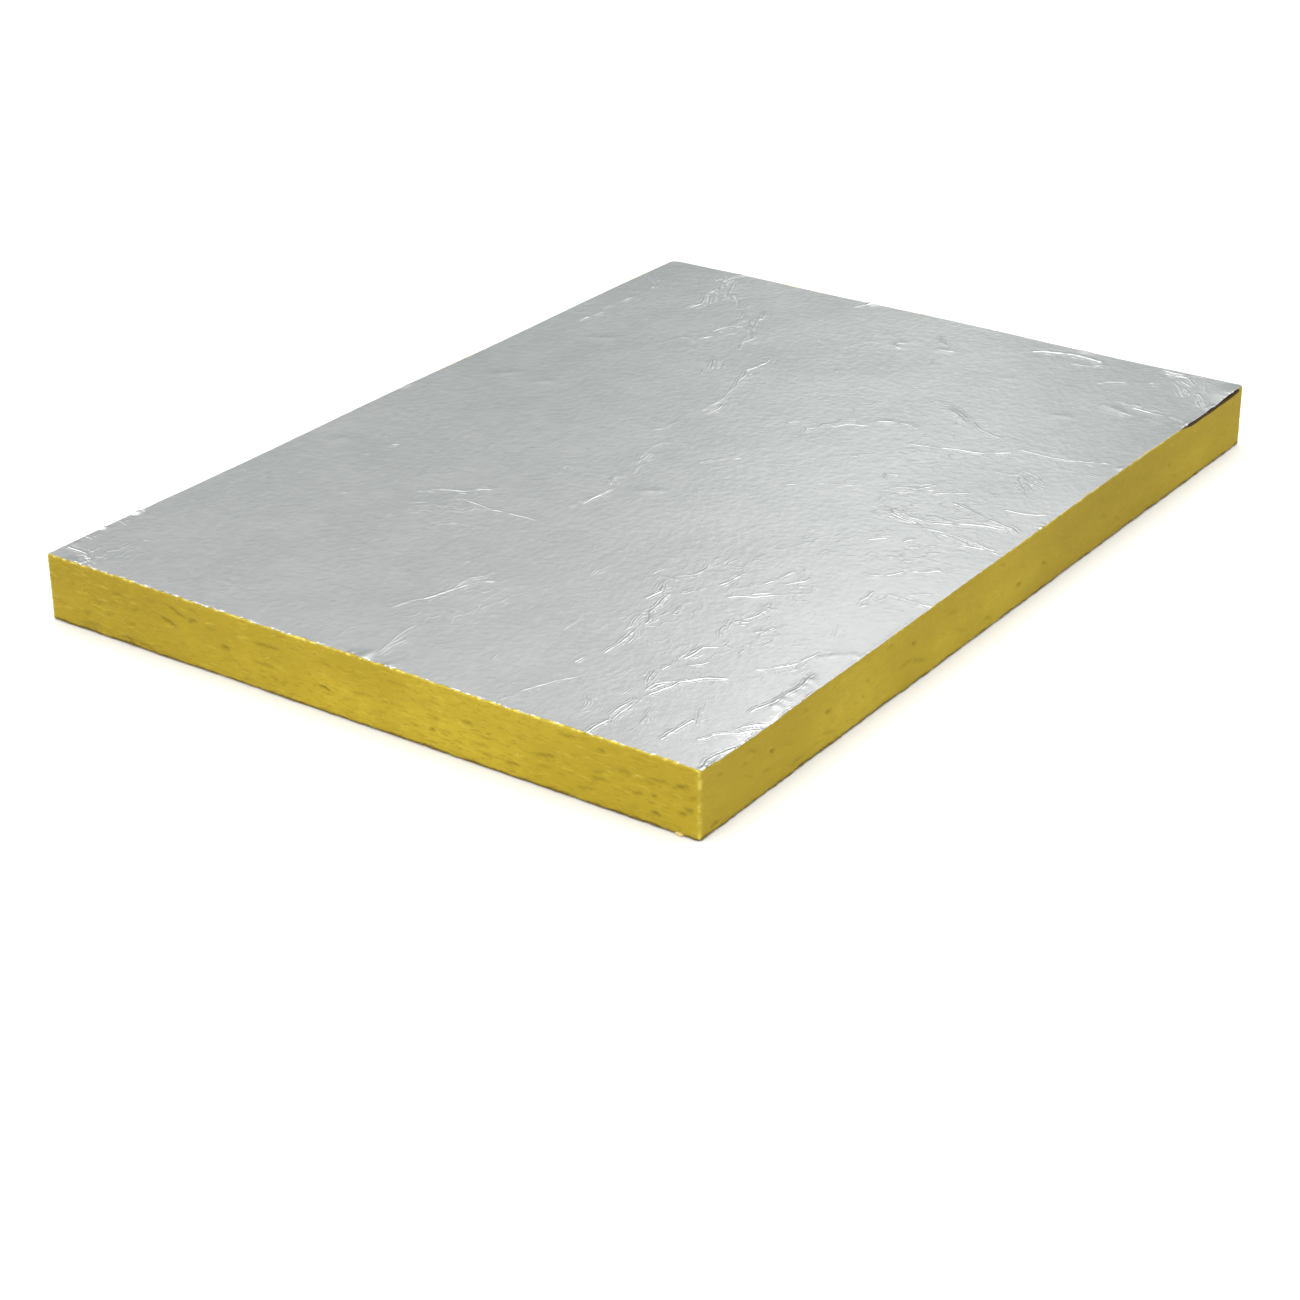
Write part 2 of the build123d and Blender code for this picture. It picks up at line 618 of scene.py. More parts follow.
def addBroadFace(piece, height, margin, step):      # a grid, and a filled margin round it
    edit(piece, "EDGE", "DESELECT")
    inner = (slabLength - 2 * margin, slabWidth - 2 * margin)
    bpy.ops.mesh.primitive_grid_add(
        x_subdivisions=round(inner[0] / step), y_subdivisions=round(inner[1] / step),
        size=1, location=spot(slabLength / 2, slabWidth / 2, height),
    )
    bpy.ops.transform.resize(value=(inner[0] * mm, inner[1] * mm, 1))
    selectOpenEdges()
    finishEdit()
    openEdges = readAll(piece.data.edges, "select", 1, bool)[:, 0]
    level = (np.abs(edgeEnds(piece)[:, :, 2] - height) < 0.01).all(axis=0)
    pick(piece, "EDGE", openEdges & level)
    bpy.ops.mesh.fill(use_beauty=True)
    finishEdit()


def raiseWall(height, spread):      # extrudes the selected outline, and widens it all round
    bpy.ops.mesh.extrude_region_move(TRANSFORM_OT_translate={"value": (0, 0, height * mm)})
    if spread:
        wider = (1 + 2 * spread / slabLength, 1 + 2 * spread / slabWidth, 1)
        bpy.ops.transform.resize(value=wider, center_override=spot(slabLength / 2, slabWidth / 2))


def makeWoolBlock(settings):
    arris, corner = settings["arris"], settings["corner"]
    bpy.ops.object.select_all(action="DESELECT")
    bpy.ops.mesh.primitive_plane_add(size=1, location=spot(slabLength / 2, slabWidth / 2))
    sizes = ((slabLength - 2 * arris) * mm, (slabWidth - 2 * arris) * mm, 1)
    block = settle(bpy.context.object, "glass_wool_block", sizes)

    # outline of the underside, its corners rounded, cut fine along each side
    edit(block, "VERT", "SELECT")
    bpy.ops.mesh.bevel(offset=corner * mm, segments=4, affect="VERTICES")
    bpy.ops.mesh.select_all(action="SELECT")
    bpy.ops.mesh.delete(type="ONLY_FACE")
    finishEdit()
    for length in (slabLength, slabWidth):
        first, second = edgeEnds(block)
        size = np.linalg.norm(second - first, axis=1)
        pick(block, "EDGE", np.abs(size - (length - 2 * arris - 2 * corner)) < 1)
        cutEdges(length / settings["columnStep"])
        finishEdit()

    # raised layer by layer, widening over the lower arris and narrowing over the upper one
    edit(block, "EDGE", "SELECT")
    turns = [math.radians(30 * step) for step in range(4)]
    rounded = [
        (arris * (math.cos(low) - math.cos(high)), arris * (math.sin(high) - math.sin(low)))
        for low, high in zip(turns, turns[1:])
    ]
    for rise, spread in rounded:
        raiseWall(rise, spread)
    count = round((woolTop - 2 * arris) / settings["layerStep"])
    for _ in range(count):
        raiseWall((woolTop - 2 * arris) / count, 0)
    for rise, spread in rounded:
        raiseWall(spread, -rise)
    finishEdit()
    for height in (0.0, woolTop):
        addBroadFace(block, height, settings["faceMargin"], settings["faceStep"])
    faceOutward(block)
    print("wool block:", len(block.data.polygons), "faces before its relief")
    return block


def roughenWool(block, settings, lattice):
    x, y, z = pointsOf(block).T
    inside, skin = fromEdges(x, y), settings["skin"]
    pits = pitWeights(x, y, z, skin)
    crushed = strongest(x, settings["crushed"]) * fade(y, 16) * (z > woolTop - 2.8)
    sides = paintGroup(block, "cut_sides", (inside < 2.0) * 1.0)
    pitted = paintGroup(block, "pits", pits)
    lower = paintGroup(block, "lower_edge", fade(z, 4.5) * (inside < 3.5) * (z > 0.02))
    crush = paintGroup(block, "crushed", crushed)
    covered = paintGroup(block, "covered", (z > woolTop - 0.5) * np.clip((inside - 3) / 4, 0, 1))
    flat = stretchGuide("layer_guide", 0.12)
    fine = stretchGuide("fibre_guide", 0.25)
    displace(block, settings["bow"], group=sides, texture=clouds("cut_bow", 0.09, 1))
    displace(block, settings["strata"], group=sides, texture=clouds("wool_layers", 0.016), guide=flat)
    displace(block, settings["tufting"], group=sides, texture=clouds("wool_tufts", 0.005), guide=fine)
    displace(block, -settings["pitDepth"], group=pitted)
    displace(block, settings["ragged"], "NORMAL", lower, clouds("ragged_edge", 0.006))
    displace(block, settings["ragged"], "Z", lower, clouds("ragged_hem", 0.011, 1), middle=0.15)
    displace(block, -settings["crushDepth"], "Z", crush)
    shift(block, "Z", -rolledDown(x, y) * np.clip((z - woolTop + 6) / 6, 0, 1))
    displace(block, -settings["underFoil"], "Z", covered)
    waveTop(block, unevenness, lattice)
    remove(flat, fine)
    block.vertex_groups.clear()

    # painted shadow: a thin dark line on the wool just under the foil's edge, near the crushed end of the
    # near side
    middle, reach = settings["shadowSeam"]
    shadowSeam = 0.5 * np.clip(1.6 - np.abs(x - middle) / reach, 0, 1) * (y < 8) * (z > woolTop - 1.5)
    darkEnd = strongest(y, settings["darkEnd"]) * (x < skin)
    darkSide = strongest(x, settings["darkSide"]) * (y < skin)
    upper = 0.4 * np.clip((z - 22) / 12, 0, 1) * (inside < skin)
    # painted highlight: lighter along the upper arris and the upright corners
    toEnd, toSide = np.minimum(x, slabLength - x), np.minimum(y, slabWidth - y)
    rim = fade(z - woolTop, 1.6) * (inside < 2.0)
    keepAttributes(
        block,
        pit=pits,
        shaded=np.maximum(crushed, shadowSeam),
        deepened=np.maximum(darkEnd, darkSide) + upper,
        underside=(z < 0.6) * np.clip((inside - 1.2) / 2, 0, 1),
        worn=np.maximum(0.75 * fade(np.hypot(toEnd, toSide), 3.2), rim),
        streaked=np.where((toSide < skin) & (toEnd > 1.3), 0.3, 1.0),       # fainter on the long sides
    )
    smooth(block, 70)
    print("wool block: relief and", sum(map(len, placedPits.values())), "placed pits")


woolFinish = {
    "deep": (0.400, 0.288, 0.019, 1.0),
    "body": (0.495, 0.367, 0.029, 1.0),
    "pale": (0.58, 0.45, 0.055, 1.0),
    "dark": (0.30, 0.208, 0.017, 1.0),
    "pitShade": (0.18, 0.135, 0.012, 1.0),
    "contactShade": (0.11, 0.062, 0.010, 1.0),
    "edge": (0.90, 0.77, 0.17, 1.0),
    "gapShadow": (0.040, 0.018, 0.006, 1.0),
    "facePale": (0.90, 0.84, 0.36, 1.0),
    "sheen": (0.95, 0.88, 0.45, 1.0),
    # how many times flatter than long, repeats per metre, detail and roughness
    "patterns": {
        "patches": (1, 11.0, 3.0, 0.5),
        "blotches": (1, 48.0, 3.0, 0.6),
        "streaks": (5, 55.0, 4.0, 0.55),
        "strands": (8, 230.0, 4.0, 0.6),
        "flecks": (4, 115.0, 3.0, 0.6),
        "mottled": (5, 190.0, 3.0, 0.6),
        "frayed": (1, 170.0, 3.0, 0.6),
        "cloudy": (1, 26.0, 5.0, 0.62),
    },
}


def woolMaterial(settings):
    material, finish = newMaterial("bonded_glass_wool")
    step, place = finish.step, finish.places()
    height = finish.node("ShaderNodeSeparateXYZ", {}, {0: place}, 2)
    seen = {}
    for name, (flatness, scale, detail, roughness) in settings["patterns"].items():
        drawn = finish.stretched(place, (1.0, 1.0, flatness)) if flatness > 1 else place
        seen[name] = finish.fractal(drawn, scale, detail, roughness)
    patches, blotches, streaks, strands, flecks, mottled, frayed, cloudy = seen.values()
    names = ("pit", "shaded", "deepened", "underside", "worn", "streaked")
    pit, shaded, deepened, underside, worn, streaked = map(finish.attribute, names)

    # where each colour is laid over those before it
    # painted shade: a dark band along the lower edge, where a contact shadow falls
    hem = 1 - step(height + 0.005 * (blotches - 0.5) + 0.004 * (strands - 0.5), 0.0012, 0.0032)
    face = finish.mix(step(cloudy, 0.42, 0.66), settings["edge"], settings["facePale"])
    colour = finish.layers(settings["deep"], [
        (step(patches, 0.35, 0.68), settings["body"]),
        (deepened * 0.62, settings["dark"]),
        (step(blotches, 0.52, 0.72) * 0.5, settings["deep"]),
        (step(streaks, 0.54, 0.78) * streaked * 0.55, settings["pale"]),
        (step(1 - streaks, 0.52, 0.70) * streaked * 0.75, settings["deep"]),
        (step(flecks, 0.53, 0.68) * (0.15 + 0.45 * streaked), settings["dark"]),
        (step(strands, 0.52, 0.80) * 0.25, settings["pale"]),
        # painted shade in the pits
        (pit * 0.75, settings["pitShade"]),
        (step(mottled, 0.46, 0.66) * 0.30, settings["deep"]),
        # painted contact shadow along the lower edge
        (hem * 0.85, settings["contactShade"]),
        # painted highlight along the upper arris and the upright corners
        (worn * (0.12 + 0.62 * step(frayed, 0.44, 0.62)), settings["edge"]),
        (underside, face),
        # painted shadow in the gap under the foil's edge
        (step(shaded, 0.22, 0.42), settings["gapShadow"]),
    ])
    relief = strands * 0.5 + streaks * (0.35 + 0.45 * streaked) + 0.5 * blotches
    finish.surface({
        "Base Color": colour, "Roughness": 0.92, "Normal": finish.bump(relief, 0.0015, 0.5),
        "Specular IOR Level": 0.10, "Sheen Weight": 0.10, "Sheen Roughness": 0.6,
        "Sheen Tint": settings["sheen"],
    })
    return material


# Foil facing

foil = {
    "setback": 0.8,         # mm from the cut sides to the foil's edge, so that an arris of wool shows
    "thickness": 0.2,
    "gridStep": 6.0,        # mm, halved once for each of the bands along the creases and the edges
    "creaseBand": (6.4, 3.5, 1.4),
    "edgeBand": (7.6, 4.3, 2.1),
    "underMargin": 9.0,     # mm from the edges to the grid of the underside
    "underStep": 12.0,
    "underRise": 0.45,      # mm that the wool leaves free under the foil
    "corner": 2.0,
    "farCorner": 7.0,       # the far-right corner is rounder
    "pebble": 0.10,         # mm of small rounded relief
    "crumple": 2.2,         # mm of relief where it is crumpled
    "raggedEnd": 2.2,       # mm that its edge at the left end is torn back and forth
    "wavyEdge": 0.9,        # mm that the edge wanders in plan
    "nearOverlap": 1.0,     # mm that it reaches further at the near long side
    "overlapFade": (380, 120, 0.6),     # and from where, over how many mm and by what share it fades
}

# How a crease is formed: height and half width of its swelling in mm, depth of the trough
# beside it, strength of its fine bright lines, their width, and how many mm narrower than
# the others its band of fine faces is
creaseForms = {
    "sharp": (0.14, 1.1, 0.20, 1.0, 1.0, 0.0),
    "fine": (0.07, 1.0, 0.20, 0.6, 0.9, 0.0),
    "faint": (0.03, 1.1, 0.15, 0.30, 0.9, 0.8),
    "trace": (0.02, 1.3, 0.30, 0.14, 0.9, 0.8),
    "broad": (0.36, 1.4, 0.20, 0.9, 1.3, 0.0),
    "dash": (0.12, 1.4, 0.20, 0.8, 1.4, 0.0),
    "stroke": (0.05, 1.3, 0.25, 0.5, 1.3, 0.0),
    "soft": (0.30, 4.6, 0.15, 0.0, 1.0, 2.0),
    "fold": (0.85, 3.2, 0.10, 0.0, 1.0, 2.0),
    "swell": (0.38, 3.8, 0.05, 0.0, 1.0, 2.0),
    "dent": (-0.06, 1.3, 0.15, 0.2, 1.0, 0.0),
}
creasing = {
    "ends": (7.0, 0.25),        # mm over which a crease rises from its end, and the share it starts at
    "sway": (0.25, 0.55),       # the share by which its height sways along it, and radians per mm
    "trough": 1.9,              # half widths from its middle to the trough beside it
    "lineEnds": 3.0,            # mm over which its lines set in
    "lineSway": 0.2,
    "lineReach": (5.0, 1.5),    # line widths to where they end, and over which they fade
    "away": 6.0,                # what the distance to a crease reads where none is near
}

# Routes of the creases, read off the photograph, in mm from the near-left corner:
# x and y of one point, then of the next
creases = {
    "sharp": [
        (-1, 93, 12, 93, 22, 92.5, 26, 92),
        (70, 91.5, 80, 88, 89, 85, 97, 84.3, 106, 76.4, 113, 70.5, 119, 63.5, 122, 58.5),
        (78, 96.5, 86, 101.4, 93, 104.3, 101, 106.4), (105, 103.6, 111, 103.8, 117, 103.4),
        (129, 100.6, 141, 100, 151, 99.6, 156, 97), (20, 46, 31, 46, 45, 44.6, 58, 44),
        (35, 26, 41, 22, 46, 21.5, 51, 16.5, 57, 11.5, 64, 7, 72, 2.5, 79, -1),
        (87, 18, 94, 18.6, 101, 17, 109, 14.5, 119, 12.7, 131, 12, 150, 12.3, 163, 13.3),
        (0, 2.5, 8, 3.5, 15, 6, 22, 5, 33, 3, 47, 1.5), (104, 153, 124, 152, 140, 155, 150, 156),
        (158, 155, 166, 156, 176, 163, 188, 166, 203, 170, 212, 170),
        (194, 179, 210, 178, 220, 182, 230, 186), (243, 149, 252, 146.5, 262, 145, 268, 144.5),
        (437, 117, 430, 109, 427, 97, 425, 85), (442, 58, 446, 46, 450, 33, 451, 18),
        (309, 320, 322, 321, 332, 319, 347, 319), (352, 325, 360, 329, 368, 334),
        (408, 334, 418, 336, 426, 336), (521, 346, 530, 345, 540, 345, 548, 348),
        (525, 354, 538, 355, 550, 353, 560, 356, 568, 358),
        (566, 358, 588, 362, 599, 366, 616, 370, 627, 375, 640, 372, 653, 372, 664, 374),
        (2, 555, 6, 562, 9, 570, 12, 574), (12, 564, 18, 574, 18, 584, 18, 594, 20, 601),
    ],
    "fine": [
        (24, 92, 31, 95.5, 36, 95.5, 47, 94.5, 57, 94.5, 61, 97),
        (20, 86, 26, 90, 36, 91.5, 47, 91, 57, 93, 62, 95),
        (73, 96, 85, 95, 92, 92, 100, 84.5, 107, 78, 115, 69.5, 121, 62), (75, 93.8, 83, 92, 90, 90.3),
        (119, 101, 124, 103.5, 130, 104.3, 138, 104.6), (153, 98, 157, 92, 160, 89),
        (172, 100, 180, 104, 190, 106.6), (187, 101.5, 196, 106, 203, 107),
        (195, 104, 206, 100, 216, 97.3, 229, 95), (122, 93.5, 128, 88.5, 136, 83),
        (124, 92.5, 130, 87.2, 137, 83), (31, 70, 37, 71, 44, 71.5), (35, 67, 41, 69.5, 46, 74, 53, 76),
        (23, 114, 31, 115, 38, 118, 45, 123), (61, 15, 68, 12, 76, 6.7, 85, 0.5),
        (142, 51, 147, 45, 155, 40, 164, 35, 173, 31, 184, 29.3, 194, 28.5),
        (155, 31.4, 161, 28, 169, 26.4, 179, 26.6), (193, 81, 197, 77, 208, 74.5),
        (4, 1, 20, 2, 44, 1, 72, 1.2, 104, 1.4, 142, 1), (127, 148, 138, 151, 150, 156, 158, 158),
        (140, 161, 152, 162, 160, 166, 169, 168), (212, 182, 226, 186), (227, 154, 237, 153.5),
        (249, 174, 262, 172.5, 270, 175), (271, 162, 280, 163.5, 290, 161), (272, 169, 282, 167, 292, 170),
        (260, 122, 270, 120, 280, 117.5, 290, 116, 300, 114), (298, 108, 304, 111.5),
        (273, 109, 278, 104, 285, 99.5, 293, 99.5), (229, 132, 238, 121, 246, 111, 256, 99),
        (245, 121, 249, 115, 254, 108), (272, 98, 279, 95), (80, 162, 93, 161), (300, 38, 301, 22, 301, -1),
        (279, 48, 288, 47, 300, 48), (271, 42, 282, 40), (328, 55, 334, 51, 342, 47),
        (345, 43, 350, 35, 354, 29, 359, 23), (387, 75, 393, 74, 400, 71), (381, 66, 390, 60),
        (390, 55, 398, 50), (376, 100, 388, 89), (426, 86, 419, 76, 423, 57),
        (486, 42, 487, 28, 490, 14, 495, 8), (408, 39, 409, 28, 410, 18, 408, 4), (485, 112, 490, 105),
        (487, 119, 494, 111), (492, 121, 499, 113), (486, 150, 496, 154, 499, 144),
        (569, 147, 573, 136, 576, 124, 579, 111, 585, 102, 593, 92), (204, 236, 217, 238),
        (51, 211, 60, 213), (366, 326, 376, 330), (380, 322, 392, 326, 402, 329),
        (400, 332, 410, 338, 420, 340), (430, 292, 438, 288, 446, 282, 452, 274, 462, 266),
        (534, 256, 542, 260, 550, 254, 560, 252), (556, 246, 562, 240, 570, 235, 574, 226, 579, 220),
        (587, 220, 598, 204), (821, 384, 829, 379, 839, 373), (672, 412, 681, 417, 691, 421, 700, 424),
        (39, 588, 41, 601), (73, 587, 77, 601), (318, 526, 323, 516),
    ],
    "faint": [
        (80, 96.8, 88, 99.3, 100, 102), (190, 108, 197, 110, 203, 108), (200, 100, 212, 95, 222, 93),
        (207, 104.5, 214, 104.7), (17, 69, 24, 70), (61, 105, 71, 105),
        (51, 38, 57, 42, 64, 44.7, 71, 48, 76, 48.5), (72, 45, 80, 50, 85, 53),
        (143, 33, 149, 35, 153, 33, 157, 29), (150, 25, 156, 23, 165, 22, 173, 22),
        (172, 72, 178, 67, 186, 66, 190, 65), (195, 67, 201, 65.5), (202, 104, 200, 92, 197, 84),
        (218, 33, 228, 36, 238, 41), (6, 171, 26, 166, 50, 155, 73, 144),
        (250, 148, 262, 149, 270, 144, 282, 146), (236, 184, 244, 178, 256, 172, 268, 174, 276, 181),
        (231, 200, 240, 201, 248, 197), (298, 205, 307, 205), (304, 190, 312, 193),
        (183, 160, 194, 163, 204, 166), (254, 102, 262, 92, 268, 84), (119, 199, 136, 200, 149, 204),
        (128, 136, 136, 138), (284, 41, 292, 36, 299, 37), (296, 26, 298, 14, 297, 4),
        (306, 26, 313, 18, 320, 10), (317, 70, 324, 62, 329, 55), (366, 78, 370, 70, 372, 62),
        (366, 66, 363, 59), (350, 58, 355, 51), (357, 58, 363, 50), (350, 83, 358, 77), (358, 72, 362, 64),
        (344, 52, 350, 45), (377, 51, 386, 41), (367, 54, 375, 46), (384, 112, 392, 102, 401, 91),
        (387, 98, 394, 88), (447, 113, 443, 103, 442, 94), (438, 118, 442, 126, 447, 133, 454, 134),
        (443, 82, 441, 71, 442, 62), (481, 104, 484, 96), (466, 132, 474, 122), (458, 140, 470, 118),
        (466, 140, 478, 120), (474, 138, 486, 118), (514, 36, 530, 48, 541, 57, 552, 66),
        (530, 40, 541, 50, 556, 64), (572, 122, 577, 108, 583, 99), (585, 92, 586, 80),
        (640, 152, 645, 148, 644, 138), (582, 52, 584, 40, 585, 28), (642, 86, 649, 78),
        (725, 38, 721, 26, 718, 17), (750, 72, 745, 64, 748, 48, 746, 32), (802, 202, 807, 195, 812, 190),
        (800, 14, 816, 26, 828, 32), (8, 284, 24, 287, 44, 290, 64, 291), (10, 282, 28, 284, 46, 281),
        (76, 324, 90, 320, 104, 315), (124, 307, 135, 309, 148, 309, 160, 301, 167, 303),
        (110, 269, 120, 267, 130, 264, 138, 264), (270, 418, 264, 408, 262, 398),
        (253, 446, 257, 440, 253, 432), (266, 430, 277, 417), (164, 330, 174, 326), (294, 327, 306, 326),
        (428, 343, 440, 343, 448, 340, 452, 334), (454, 315, 462, 321), (356, 375, 362, 377, 368, 372),
        (372, 254, 384, 262), (464, 366, 472, 360, 480, 360, 492, 358, 500, 362), (510, 360, 520, 360),
        (575, 213, 580, 206), (446, 191, 452, 184), (465, 181, 471, 168), (462, 240, 468, 231),
        (503, 265, 510, 255), (477, 259, 482, 251), (508, 177, 513, 171), (513, 174, 520, 166),
        (524, 172, 533, 161), (534, 175, 540, 166), (524, 155, 532, 149), (596, 244, 604, 252, 612, 250),
        (619, 241, 628, 243), (640, 276, 649, 278), (711, 279, 718, 272), (736, 322, 742, 318),
        (730, 246, 737, 252, 744, 253), (773, 254, 786, 260), (60, 560, 64, 550), (214, 497, 222, 487),
        (275, 555, 282, 544), (289, 533, 292, 524), (324, 534, 338, 545), (666, 564, 677, 564),
        (681, 570, 690, 573, 698, 574, 700, 568), (738, 572, 747, 578), (804, 519, 812, 526, 822, 527),
        (663, 473, 669, 464), (651, 450, 659, 441), (675, 524, 686, 529),
    ],
    "trace": [
        (160, 91, 167, 93, 172, 92), (83, 114, 90, 115), (77, 112, 83, 103), (128, 17, 135, 20, 142, 23),
        (186, 53, 192, 46, 198, 39), (183, 74, 187, 79), (166, 86, 172, 78, 176, 72),
        (280, 104, 290, 104, 300, 106), (291, 20, 293, 10), (396, 47, 393, 34),
        (408, 102, 416, 80, 416, 66, 407, 56, 405, 46), (388, 108, 398, 98, 408, 96), (556, 42, 562, 52),
        (620, 134, 624, 118), (140, 265, 152, 260, 160, 252), (80, 320, 94, 318),
        (3, 325, 20, 325, 32, 327, 42, 324), (200, 401, 210, 388, 218, 376, 216, 366, 212, 354, 215, 344),
        (218, 390, 226, 378), (242, 402, 249, 390), (243, 404, 250, 394), (202, 433, 210, 426),
        (228, 430, 236, 420, 243, 419), (230, 322, 236, 312), (213, 227, 222, 220), (14, 358, 30, 366),
        (163, 380, 168, 390), (30, 438, 42, 453, 54, 461, 70, 468), (238, 474, 250, 458),
        (228, 432, 233, 425, 239, 422, 243, 421), (204, 436, 210, 428),
    ],
    "swell": [
        (181, 27, 189, 20, 197, 12, 206, 2),
    ],
    "fold": [
        (98, 12, 110, 10.5, 126, 10, 144, 10, 160, 10.5),
    ],
    "stroke": [
        (438, 114, 433, 95, 432, 76, 438, 58), (475, 82, 468, 60, 464, 46),
        (463, 42, 460, 30, 457, 17, 452, 10), (419, 64, 415, 47, 411, 32), (422, 54, 417, 30, 413, 8),
        (483, 103, 493, 92, 500, 79), (480, 120, 492, 115, 505, 107), (538, 34, 544, 48, 552, 64, 555, 73),
        (550, 40, 557, 49, 562, 60, 564, 70), (551, 88, 552, 78, 551, 68), (527, 46, 533, 54, 540, 62),
        (598, 203, 598, 194, 593, 180), (560, 173, 564, 163, 567, 152), (622, 163, 618, 153),
        (650, 202, 656, 203, 658, 197, 653, 190, 655, 184),
        (634, 150, 625, 143, 619, 128, 614, 116, 611, 104), (601, 79, 602, 70),
        (601, 92, 602, 78, 602, 64, 604, 50, 606, 38), (598, 50, 605, 42, 609, 34),
        (607, 36, 611, 26, 614, 14), (584, 20, 583, 12), (732, 80, 728, 70, 724, 58, 722, 46),
        (737, 22, 735, 12, 731, 5), (761, 91, 766, 93), (803, 151, 805, 140, 809, 124),
        (809, 133, 815, 125, 820, 122), (773, 107, 782, 101, 787, 94, 791, 85), (772, 10, 782, 16, 793, 24),
        (778, 7, 790, 14, 801, 24), (786, 32, 796, 39, 806, 46, 815, 52), (792, 28, 800, 34, 806, 42),
        (837, 48, 836, 32), (100, 315, 110, 311, 122, 308, 131, 306),
        (128, 306, 140, 302, 150, 296, 156, 286),
        (262, 400, 261, 388, 260, 372, 261, 358, 262, 340, 261, 330),
        (262, 440, 270, 428, 275, 416, 284, 406, 294, 393),
        (546, 252, 557, 254, 566, 246, 577, 244, 584, 234), (538, 279, 547, 279, 553, 272, 564, 270),
        (534, 253, 538, 258, 543, 256), (496, 212, 504, 204), (520, 197, 522, 190, 526, 187),
        (430, 211, 438, 203), (456, 178, 462, 163), (668, 309, 675, 311), (700, 284, 708, 280),
        (725, 336, 732, 333), (743, 326, 751, 328), (713, 352, 719, 354, 723, 360, 728, 355),
        (760, 302, 765, 294, 770, 296), (767, 266, 768, 256, 771, 246), (779, 259, 790, 268, 799, 279),
        (665, 570, 673, 570, 681, 569), (769, 573, 777, 582, 785, 590, 794, 599),
        (754, 500, 768, 508, 780, 516), (778, 500, 792, 512, 804, 520, 811, 529),
        (774, 494, 784, 498, 798, 506, 812, 511, 827, 515), (772, 484, 780, 492, 790, 500),
        (659, 460, 664, 456, 668, 454), (684, 448, 689, 442, 697, 439, 705, 435), (722, 440, 734, 441),
        (724, 449, 732, 449, 740, 453), (730, 446, 742, 451, 756, 462, 770, 474),
        (778, 483, 785, 489, 789, 498), (708, 429, 724, 436, 735, 441), (712, 424, 728, 431, 740, 437),
        (668, 410, 680, 416, 692, 420, 699, 424), (596, 402, 607, 408), (622, 396, 631, 400),
    ],
    "soft": [
        (649, 183, 641, 171, 634, 162, 628, 155), (685, 106, 687, 98, 690, 88), (736, 178, 744, 174),
        (731, 78, 727, 68, 724, 58, 723, 48), (354, 302, 360, 292, 368, 278), (590, 217, 597, 205),
        (754, 291, 758, 301, 769, 295), (767, 264, 770, 249), (298, 572, 306, 566, 310, 558),
        (493, 557, 500, 550, 512, 538), (502, 511, 510, 500), (616, 541, 622, 531, 630, 518),
    ],
    "dash": [
        (648, 182, 641, 171, 634, 162, 629, 156), (739, 58, 738, 50, 738, 40, 737, 25), (794, 79, 797, 74),
        (799, 71, 801, 67, 803, 60), (809, 35, 817, 43, 824, 54), (817, 35, 826, 43, 832, 52),
        (827, 70, 828, 58, 830, 46), (835, 75, 834, 62, 836, 50), (751, 289, 755, 300, 760, 302),
        (782, 265, 790, 272, 797, 277), (648, 571, 655, 572, 663, 571), (711, 571, 720, 569, 729, 569),
        (758, 568, 764, 570, 769, 573), (732, 509, 740, 508, 747, 506, 754, 506),
        (754, 506, 762, 510, 770, 515, 777, 519), (777, 517, 784, 517, 793, 519), (769, 496, 778, 500),
        (796, 513, 804, 519, 812, 524), (809, 531, 815, 531, 822, 530), (808, 523, 820, 524, 834, 524),
        (668, 454, 675, 452, 684, 448), (694, 456, 702, 454, 709, 451, 717, 450), (714, 444, 724, 444),
        (741, 438, 752, 437), (752, 438, 759, 442, 766, 448),
        (738, 453, 748, 459, 758, 467, 768, 475, 778, 483), (702, 416, 714, 425, 724, 433, 738, 444),
        (686, 417, 696, 415, 705, 416), (612, 402, 622, 407, 632, 413, 642, 420),
    ],
    "dent": [
        (631, 143, 629, 123, 623, 110, 620, 90, 616, 72), (620, 80, 616, 66, 609, 56),
        (89, 593, 96, 580, 99, 569),
    ],
    "broad": [
        (811, 191, 818, 182, 822, 170, 825, 156, 825, 140, 823, 126),
    ],
}


def everyCrease(x, y):      # form, route and which points lie near it
    for form, routes in creases.items():
        half = creaseForms[form][1]
        reach = max(9.0, 4 * half + 4)
        for flat in routes:
            rx, ry = flat[::2], flat[1::2]
            inLength = (x > min(rx) - reach) & (x < max(rx) + reach)
            inWidth = (y > min(ry) - reach) & (y < max(ry) + reach)
            yield form, list(zip(rx, ry)), np.nonzero(inLength & inWidth)[0]


def nearestOnRoute(x, y, route):    # distance, side (+1 left), and mm run from the nearer end
    lengths = [math.dist(a, b) for a, b in zip(route, route[1:])]
    best, side, run = np.full(len(x), np.inf), np.ones(len(x)), np.zeros(len(x))
    done = 0.0
    for (ax, ay), (bx, by), length in zip(route, route[1:], lengths):
        ux, uy = (bx - ax) / length, (by - ay) / length
        t = np.clip((x - ax) * ux + (y - ay) * uy, 0, length)
        dx, dy = x - ax - t * ux, y - ay - t * uy
        distance = np.hypot(dx, dy)
        closer = distance < best
        best = np.where(closer, distance, best)
        side = np.where(closer, np.where(ux * dy - uy * dx >= 0, 1.0, -1.0), side)
        run = np.where(closer, done + t, run)
        done += length
    return best, side, np.minimum(run, done - run)


def nearCrease(x, y, band):     # whether a place is in the band of fine faces along a crease
    near = np.zeros(len(x), bool)
    for form, route, where in everyCrease(x, y):
        narrower = creaseForms[form][-1]
        distance = nearestOnRoute(x[where], y[where], route)[0]
        near[where[distance < band - narrower]] = True
    return near


